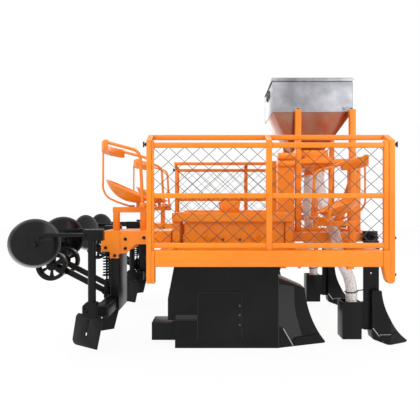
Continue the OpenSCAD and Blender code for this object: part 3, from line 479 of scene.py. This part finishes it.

# Hopper funnel: the same sheet in a bright roll, welded under the bin. Turned to the ground, it faces
# the orange machine below, and that orange reflection is painted into its colour as a warm tint.
# Bright-rolled stainless: a clearer mirror, with a painted warm reflection of the orange below
stainless_painted_reflection, tree, shader, place = surface("bright_rolled_stainless_painted_reflection")
painted_orange_reflection = spread(tree, noise(tree, place, MOTTLE_MM, 3.0), (0.35, 0.65), (0, 1))
feed(shader, {"Base Color": blend(tree, painted_orange_reflection, linear("#B4654A"), linear("#A88672")), "Metallic": 1.0,
              "Roughness": 0.24})
rolled("hopper_funnel", 0.0015, stainless_painted_reflection)

# Hopper stand, metering unit and drive cases: square posts on the hitch rails, tied along each side.
# The metering unit hangs between the ties, and cased chains lead its drive to the cutters.
for name, radius in (("hopper_stand", 0.005), ("stand_ties", 0.005), ("metering_unit", 0.003),
                     ("drive_cases", 0.004)):
    rolled(name, radius, orange)
STAND_TOP = 1.941
# Distance from the middle, width across the flats and height of the bolts on each post
STAND_BOLTS = ((0.293, 0.017, 0.012), (0.306, 0.011, 0.008))
form = bmesh.new()
for s in (-1, 1):
    for x in (0.713, 1.191):
        for y, across, height in STAND_BOLTS:
            bolt(form, (x, s * y, STAND_TOP), (0, 0, 1), across, height)
piece("stand_bolts", form, black, "frame")

# Planting openers: a plate box with a hollow-faced plough share welded on its front and a bolted
# side cover. All of it is black gloss enamel, and the wing's edge is ground bright by the soil.
for name, radius in (("opener_box_right", 0.002), ("opener_box_left", 0.002), ("opener_shares", 0.003),
                     ("opener_covers", 0.0015)):
    rolled(name, radius, black)
BOX_HALF = 0.150
ROW = 0.600
COVER_X, COVER_Z, COVER_BEND = (-0.154, 0.186), (0.062, 0.432), 0.030
BOX_X = (-0.328, 0.467)
SHARE_TIP, TIP_HALF = 0.864, 0.030
COVER_T = 0.006
COVER_BOLT_X, COVER_BOLTS_Z = COVER_X[1] - 0.018, (0.3295, 0.2575, 0.184)
STRAP_X, STRAP_Z, STRAP_SIZE = -0.240, 0.240, (0.164, 0.004, 0.034)
STRAP_LOW = 0.216
SHARE_SEAM_X, SHARE_SEAM_Z = BOX_X[1] + 0.001, (0.015, 0.530)


def share_half(x):
    """Half the width of a planting share at that place along it."""
    return BOX_HALF - (BOX_HALF - TIP_HALF) * (x - BOX_X[1]) / (SHARE_TIP - BOX_X[1])


form = bmesh.new()
straps = bmesh.new()
welds = bmesh.new()
for s in (-1, 1):
    face = s * (ROW + BOX_HALF)
    for z in COVER_BOLTS_Z:
        bolt(form, (COVER_BOLT_X, face + s * COVER_T, z), (0, s, 0), 0.017, 0.010)
    block(straps, (STRAP_X, face + s * 0.0015, STRAP_Z), STRAP_SIZE)
    bend = [(COVER_X[0] + COVER_BEND * (1 - math.cos(a)), COVER_Z[1] - COVER_BEND * (1 - math.sin(a)))
            for a in (math.radians(10 * k) for k in range(10))]
    edge = [(COVER_X[0], COVER_Z[0])] + bend + [(COVER_X[1], COVER_Z[1]), (COVER_X[1], COVER_Z[0])]
    tube(straps, [(x, face + s * 0.0055, z) for x, z in edge], 0.0018, 8)
    for half in (BOX_HALF, -BOX_HALF):
        low, high = ((SHARE_SEAM_X, s * (ROW + half), z) for z in SHARE_SEAM_Z)
        weld(welds, low, high, 0.0045, 0.012)
    weld(welds, (BOX_X[0], face, STRAP_LOW), (COVER_X[0], face, STRAP_LOW), 0.003, 0.010)
piece("opener_bolts", form, zinc, "frame")
# The same enamel, duller and lighter grey: a painted sheen that lightens the straps, the door bead, the welds
# and the share panels
black_painted_sheen = enamel("black_painted_sheen", "#2A2B2C", "#3A3B3C", 0.42, 0.10, 0.2)
piece("opener_straps", straps, black_painted_sheen, "frame")
piece("opener_welds", welds, black_painted_sheen, "frame", 60)

# Steel ground bare by soil: bright, with fine scratches
SCRATCH_MM = 4.0
bright, tree, shader, place = surface("soil_ground_steel")
scratch = noise(tree, place, SCRATCH_MM, 3.0)
feed(shader, {"Base Color": blend(tree, scratch, linear("#8E8E90"), linear("#D6D6D8")), "Metallic": 1.0,
              "Roughness": 0.30})
WING_EDGE = ((0.506, 0.148), (0.587, 0.008))
form = bmesh.new()
for s in (-1, 1):
    for out in (1, -1):
        tube(form, [(x, s * ROW + out * share_half(x), z) for x, z in WING_EDGE], 0.0045, 8)
piece("wing_edges", form, bright, "frame", 60)

# Mouldboards and blades of the planting shares: a hollow-rolled panel behind the shin, and a bolted
# blade along the foot. Both are painted black; the panel is dull and a lighter grey, which is a painted sheen.
PANEL = ((0.471, 0.490), (0.5945, 0.468), (0.597, 0.400), (0.598, 0.322), (0.612, 0.240), (0.634, 0.167),
         (0.661, 0.078), (0.597, 0.072), (0.566, 0.050), (0.512, 0.146), (0.471, 0.170))
BLADE = ((0.598, 0.0667), (0.788, 0.0769), (0.846, 0.006), (0.593, 0.006))


def stack(shape, layers, capped=True):
    """A form whose layers, each a loop of points, are joined one to the next; capped, or closed in a ring."""
    loops = [[shape.verts.new(point) for point in layer] for layer in layers]
    count = len(loops[0])
    for low, high in zip(loops, loops[1:] + ([] if capped else loops[:1])):
        for k in range(count):
            n = (k + 1) % count
            shape.faces.new((low[k], low[n], high[n], high[k]))
    if capped:
        shape.faces.new(loops[0])
        shape.faces.new(loops[-1])


form = bmesh.new()
blades = bmesh.new()
for s in (-1, 1):
    for out in (1, -1):
        for shape, outline, thick in ((form, PANEL, 0.002), (blades, BLADE, 0.006)):
            stack(shape, [[(x, s * ROW + out * (share_half(x) + lift), z) for x, z in outline]
                          for lift in (-SINK, thick)])
# The panels' lighter grey is a painted sheen
piece("share_panels", form, black_painted_sheen, "frame")
piece("share_blades", blades, black, "frame")

# Fertiliser openers: forged points on flat shanks that are clamped in front of the frame, with a
# folded boot behind that takes the hose. Wire ties hold each hose to its shank.
for name, radius in (("shank_clamps", 0.002), ("fert_shanks", 0.003), ("fert_shares", 0.003),
                     ("fert_boots", 0.002)):
    rolled(name, radius, black)
CLAMP_HALF = 0.0245
TIE_X, TIE_Z, TIE_R, TIE_TILT, TIE_WIRE_R = 1.079, 0.404, 0.049, 0.006, 0.0042
TIE_END = ((1.126, 0.0, 0.410), (1.155, 0.006, 0.414), (1.180, 0.010, 0.420))
form = bmesh.new()
ties = bmesh.new()
for s in (-1, 1):
    for x in (1.205, 1.270):
        for z in (0.700, 0.750):
            for out in (1, -1):
                bolt(form, (x, s * ROW + out * CLAMP_HALF, z), (0, out, 0), 0.017, 0.010)
    ring = [(TIE_X + TIE_R * math.cos(a), s * ROW + TIE_R * math.sin(a), TIE_Z + TIE_TILT * math.cos(a))
            for a in (math.tau * k / 40 for k in range(40))]
    tube(ties, ring, TIE_WIRE_R, 8, True)
    tube(ties, [(x, s * (ROW + aside), z) for x, aside, z in TIE_END], TIE_WIRE_R, 8)
piece("clamp_bolts", form, black, "frame")
piece("hose_ties", ties, black, "frame", 60)

# Blades of the fertiliser shares: a point plate on each flank, with the lower edge of the shin ground
# bright. The flanks widen from the shank to a fold and then run in to the tip.
POINT_BACK, POINT_FOLD, POINT_TIP = 1.228, 1.358, 1.524
POINT_HALF = (0.050, 0.085, 0.012)
POINT_T = 0.005
SHIN_EDGE = ((1.233, 0.124), (1.307, 0.021))
# Place along the share, lower edge and upper edge of the plate
POINT_EDGES = ((1.278, 0.050, 0.074), (1.300, 0.026, 0.077), (1.338, 0.003, 0.0815), (1.358, 0.003, 0.084),
               (1.425, 0.003, 0.090), (1.460, 0.003, 0.060), (1.490, 0.003, 0.036), (1.513, 0.006, 0.016))


def flank(x):
    """Half the width of a fertiliser share at that place along it."""
    back, fold, tip = POINT_HALF
    if x < POINT_FOLD:
        return back + (fold - back) * (x - POINT_BACK) / (POINT_FOLD - POINT_BACK)
    return fold + (tip - fold) * (x - POINT_FOLD) / (POINT_TIP - POINT_FOLD)


form = bmesh.new()
edges = bmesh.new()
for s in (-1, 1):
    for out in (-1, 1):
        layers = []
        for x, low, high in POINT_EDGES:
            near, far = (s * ROW + out * (flank(x) + lift) for lift in (-SINK, POINT_T))
            layers.append(((x, near, low), (x, far, low), (x, far, high), (x, near, high)))
        stack(form, layers)
        tube(edges, [(x, s * ROW + out * flank(x), z) for x, z in SHIN_EDGE], 0.0035, 8)
        tube(edges, [(x, s * ROW + out * (flank(x) + POINT_T - SINK), high)
                     for x, low, high in POINT_EDGES[:4]], 0.0022, 8)
piece("point_blades", form, black, "frame", 20)
piece("point_edges", edges, bright, "frame", 60)

# Cutter boxes, feed tables and feed funnels: folded orange sheet over the rows. Oval flange bearings
# carry the cutter shafts in the boxes' sides.
for name, radius in (("cutter_box_right", 0.003), ("cutter_box_left", 0.003), ("feed_tables", 0.002),
                     ("table_legs", 0.005), ("feed_funnels", 0.0015)):
    rolled(name, radius, orange)
# Place and half length of each flange, then the heights and depths they share
BEARINGS = ((-0.051, 0.061), (0.279, 0.054))
BEARING_Z, FLANGE_RISE, FLANGE_T, FLANGE_WAIST = 0.862, 0.033, 0.012, 0.18
HUB_OUT, SHAFT_OUT = 0.026, 0.038
SIDE_BOLTS_X, SIDE_BOLTS_Z = (0.041, 0.172), 0.835
form = bmesh.new()
nuts = bmesh.new()
for s in (-1, 1):
    for out in (s, -s):
        face = s * ROW + out * BOX_HALF
        for x, reach in BEARINGS:
            outline = [(x + reach * math.cos(a) * (1 - FLANGE_WAIST * abs(math.sin(2 * a))),
                        BEARING_Z + FLANGE_RISE * math.sin(a)) for a in (math.tau * k / 48 for k in range(48))]
            stack(form, [[(px, face + out * lift, pz) for px, pz in outline] for lift in (-SINK, FLANGE_T)])
            tube(form, [(x, face + out * lift, BEARING_Z) for lift in (0, HUB_OUT)], 0.027, 28)
            tube(form, [(x, face + out * lift, BEARING_Z) for lift in (0.020, SHAFT_OUT)], 0.014, 20)
            for side in (-0.78 * reach, 0.78 * reach):
                bolt(form, (x + side, face + out * FLANGE_T, BEARING_Z), (0, out, 0), 0.015, 0.009)
        for x in SIDE_BOLTS_X:
            bolt(nuts, (x, face, SIDE_BOLTS_Z), (0, out, 0), 0.015, 0.009)
piece("shaft_bearings", form, orange, "frame")
piece("bearing_bolts", nuts, zinc, "frame")

# Seats: pressed pans with a rolled rim on square-tube stands, each with a bent backrest on two arm
# tubes and a springy rod behind. The rear pair looks forwards and the front pair back.
for name, radius in (("backrests", 0.006), ("seat_stands", 0.004)):
    rolled(name, radius, orange)
for name in ("seat_pans", "seat_arms", "seat_hoops"):
    rolled(name, 0.001, orange, crease=40)
RIM_R, RIM_ROD_R = 0.1845, 0.0062
PAN_SLOPE = math.radians(24.7)
# Place, height and the way that each seat looks
SEATS = ((-0.718, 1.221, 1), (0.987, 1.111, -1))
# Bolts of the arms and of the post under the pan: how far ahead of the pan, aside and below it
ARM_BOLT, POST_BOLT = (0.180, 0.25, 0.123), (0.081, 0.018, 0.118)
form = bmesh.new()
nuts = bmesh.new()
for s in (-1, 1):
    for x, z, turn in SEATS:
        rim = []
        for a in (math.tau * k / 64 for k in range(64)):
            ahead, aside = RIM_R * math.cos(a), RIM_R * math.sin(a)
            rim.append((x + turn * ahead * math.cos(PAN_SLOPE), s * ROW + aside,
                        z - ahead * math.sin(PAN_SLOPE) + 0.001))
        tube(form, rim, RIM_ROD_R, 10, True)
        ahead, aside, below = ARM_BOLT
        for y in (s * ROW - aside, s * ROW + aside):
            bolt(nuts, (x + turn * ahead, y, z - below), (turn, 0, 0), 0.015, 0.009)
        ahead, aside, below = POST_BOLT
        bolt(nuts, (x + turn * ahead, s * (ROW + aside), z - below), (0, s, 0), 0.013, 0.007)
piece("pan_rims", form, orange, "frame", 60)
piece("seat_bolts", nuts, orange, "frame")

# Rear brackets: twin orange cheeks that carry each row's leg behind the frame. A second plate laps
# over the rear of each cheek, and five bolts go through the pair.
rolled("rear_brackets", 0.002, orange)
BRACKET_OUT = 0.152
LAP_T = 0.005
LAP = ((-0.8935, 0.744), (-0.8935, 0.856), (-0.882, 0.898), (-0.750, 0.898), (-0.750, 0.724),
       (-0.762, 0.722), (-0.762, 0.692), (-0.826, 0.692), (-0.826, 0.744))
# Place and height of each bolt, and what it stands on above the cheek
BRACKET_BOLTS = ((-0.709, 0.839, 0), (-0.566, 0.849, 0), (-0.709, 0.766, 0), (-0.859, 0.772, LAP_T),
                 (-0.789, 0.712, LAP_T))
form = bmesh.new()
nuts = bmesh.new()
for s in (-1, 1):
    for out in (s, -s):
        face = s * ROW + out * BRACKET_OUT
        stack(form, [[(x, face + out * lift, z) for x, z in LAP] for lift in (0, LAP_T)])
        for x, z, lift in BRACKET_BOLTS:
            bolt(nuts, (x, face + out * lift, z), (0, out, 0), 0.019, 0.012)
piece("bracket_laps", form, orange, "frame")
piece("bracket_bolts", nuts, black, "frame")

# Rear legs, cross bars, clamps and cover plates: heavy black steel below the brackets. The cross bar
# is a thick square tube, open at its ends, and the clamps on it hold the soil covers.
for name, radius in (("rear_legs", 0.006), ("cross_bars", 0.008), ("bar_clamps", 0.003),
                     ("cover_plates", 0.0015)):
    rolled(name, radius, black)
BAR_X, BAR_Z, BAR_HALF = -0.820, 0.346, 0.044
BAR_ENDS = (0.3887, 0.9807)
CORNERS = ((-1, -1), (1, -1), (1, 1), (-1, 1))
# Section of the tube's wall at its end: half width and reach past the bar
BAR_WALL = ((BAR_HALF - 0.003, -SINK), (BAR_HALF - 0.004, 0.004), (BAR_HALF - 0.013, 0.004),
            (BAR_HALF - 0.013, 0.0002))
INSIDE_SIZE = (2 * BAR_HALF - 0.024, 0.0016, 2 * BAR_HALF - 0.024)
# Painted shade inside the tube: a matt near-black sheet across each open end
painted_hollow_shade = enamel("tube_inside_painted_shade", "#040404", "#070707", 0.6, 0.05, 0.1)
form = bmesh.new()
inside = bmesh.new()
for s in (-1, 1):
    for end, way in zip(BAR_ENDS, (-1, 1)):
        y = s * end
        stack(form, [[(BAR_X + a * half, y + s * way * lift, BAR_Z + b * half) for a, b in CORNERS]
                     for half, lift in BAR_WALL], capped=False)
        block(inside, (BAR_X, y, BAR_Z), INSIDE_SIZE)
piece("bar_ends", form, black, "frame")
piece("bar_insides_painted_shade", inside, painted_hollow_shade, "frame")

# Covering discs: dished discs on raked spindles, hung from arms that stand on the cross bars.
# They are sprayed black and polished by the soil, so the gloss runs in rings and streaks.
for name in ("disc_arms", "disc_struts"):
    rolled(name, 0.002, black)
# Enamel polished by soil: deep black with a clear gloss, and bright steel at the rim, faint all round and
# strong along one arc, which is a painted highlight
DISC_MM = 6.0
STREAK_MM = 110.0
black_with_painted_highlight, tree, shader, place = surface("polished_black_painted_highlight")
streak = noise(tree, place, STREAK_MM, 6.0, Roughness=0.65)
tone = blend(tree, streak, linear("#060607"), linear("#1A1A1C"))
reach, highlight_arc = (add(tree, "ShaderNodeAttribute", attribute_name=name).outputs["Fac"]
              for name in ("reach", "highlight_arc"))
rim = spread(tree, reach, (0.87, 0.975), (0, 1))
# Painted highlight: the rim is bright steel, strongest along the arc that faces down and to the rear
painted_rim_highlight = add(tree, "ShaderNodeMath", {0: rim, 1: highlight_arc}, operation="MULTIPLY").outputs[0]
feed(shader, {"Base Color": blend(tree, painted_rim_highlight, tone, linear("#B9BBC0")), "Metallic": painted_rim_highlight,
              "Roughness": spread(tree, streak, (0, 1), (0.06, 0.30)), "Specular IOR Level": 0.22,
              "Normal": ripple(tree, noise(tree, place, DISC_MM, 2.0), 0.06)})

DISC_X, DISC_Z, DISC_R = -1.3425, 0.815, 0.182
# Middle of the painted highlight arc as seen from the hub, and the share of its brightness all round
HIGHLIGHT_WAY, HIGHLIGHT_LEAST = Vector((-0.5, 0, -0.87)), 0.12
SPINDLE = 0.085
RAKE = math.radians(27)
# How far the hub nut and the arm bolts stand out from the hub, and where the arm bolts are
NUT_OUT, ARM_OUT = 0.012, 0.026
ARM_BOLTS_X, ARM_BOLTS_Z = (-0.945, -0.850), 0.885
form = bmesh.new()
for word, s in SIDES:
    for place, y in (("outer", 0.880), ("inner", 0.338)):
        name = "disc_%s_%s" % (word, place)
        disc = rolled(name, 0.0008, black_with_painted_highlight, name).data
        axis = Vector((math.sin(RAKE), s * math.cos(RAKE), 0))
        centre = Vector((DISC_X, s * y, DISC_Z))
        reaches, highlight_arcs = [], []
        for vertex in disc.vertices:
            arm = vertex.co - centre
            arm -= axis * arm.dot(axis)
            reaches.append(arm.length / DISC_R)
            facing = max(0.0, arm.normalized().dot(HIGHLIGHT_WAY))
            highlight_arcs.append(HIGHLIGHT_LEAST + (1 - HIGHLIGHT_LEAST) * facing ** 2)
        disc.attributes.new("reach", "FLOAT", "POINT").data.foreach_set("value", reaches)
        disc.attributes.new("highlight_arc", "FLOAT", "POINT").data.foreach_set("value", highlight_arcs)
        hub = centre + SPINDLE * axis
        bolt(form, (hub.x, hub.y + s * NUT_OUT, hub.z), (0, s, 0), 0.032, 0.018)
        for x in ARM_BOLTS_X:
            bolt(form, (x, hub.y + s * ARM_OUT, ARM_BOLTS_Z), (0, s, 0), 0.019, 0.011)
piece("disc_nuts", form, black, "frame")

# Press wheels: a pair of spoked cast wheels for each row on one axle, in a fork that pivots on the
# leg and is pressed down by two coil springs on rods.
for name in ("press_arms", "press_pivots"):
    rolled(name, 0.002, black)
for word, s in SIDES:
    rolled("press_wheels_" + word, 0.003, black, "press_wheels_" + word)
COIL_X, COIL_Z = -0.868, (0.555, 0.720)
COIL_R, COIL_WIRE, COIL_TURNS, TURN_STEPS = 0.025, 0.012, 7, 24
COIL_OFF = 0.090
CUP_R, CUP_T = 0.034, 0.006
ROD_Z, ROD_R = (0.524, 0.888), 0.007
steps = COIL_TURNS * TURN_STEPS
climb = (COIL_Z[1] - COIL_Z[0] - COIL_WIRE) / steps
form = bmesh.new()
for s in (-1, 1):
    for y in (s * ROW - COIL_OFF, s * ROW + COIL_OFF):
        coil = []
        for i in range(steps + 1):
            a = math.tau * i / TURN_STEPS
            coil.append((COIL_X + COIL_R * math.cos(a), y + COIL_R * math.sin(a),
                         COIL_Z[0] + COIL_WIRE / 2 + climb * i))
        tube(form, coil, COIL_WIRE / 2, 8)
        tube(form, [(COIL_X, y, z) for z in ROD_Z], ROD_R)
        for z in (COIL_Z[0] - CUP_T, COIL_Z[1]):
            tube(form, [(COIL_X, y, z), (COIL_X, y, z + CUP_T)], CUP_R, 28)
        bolt(form, (COIL_X, y, COIL_Z[1] + CUP_T), (0, 0, 1), 0.022, 0.014)
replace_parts(piece("spring_coils", form, black, "frame", 50), "springs")
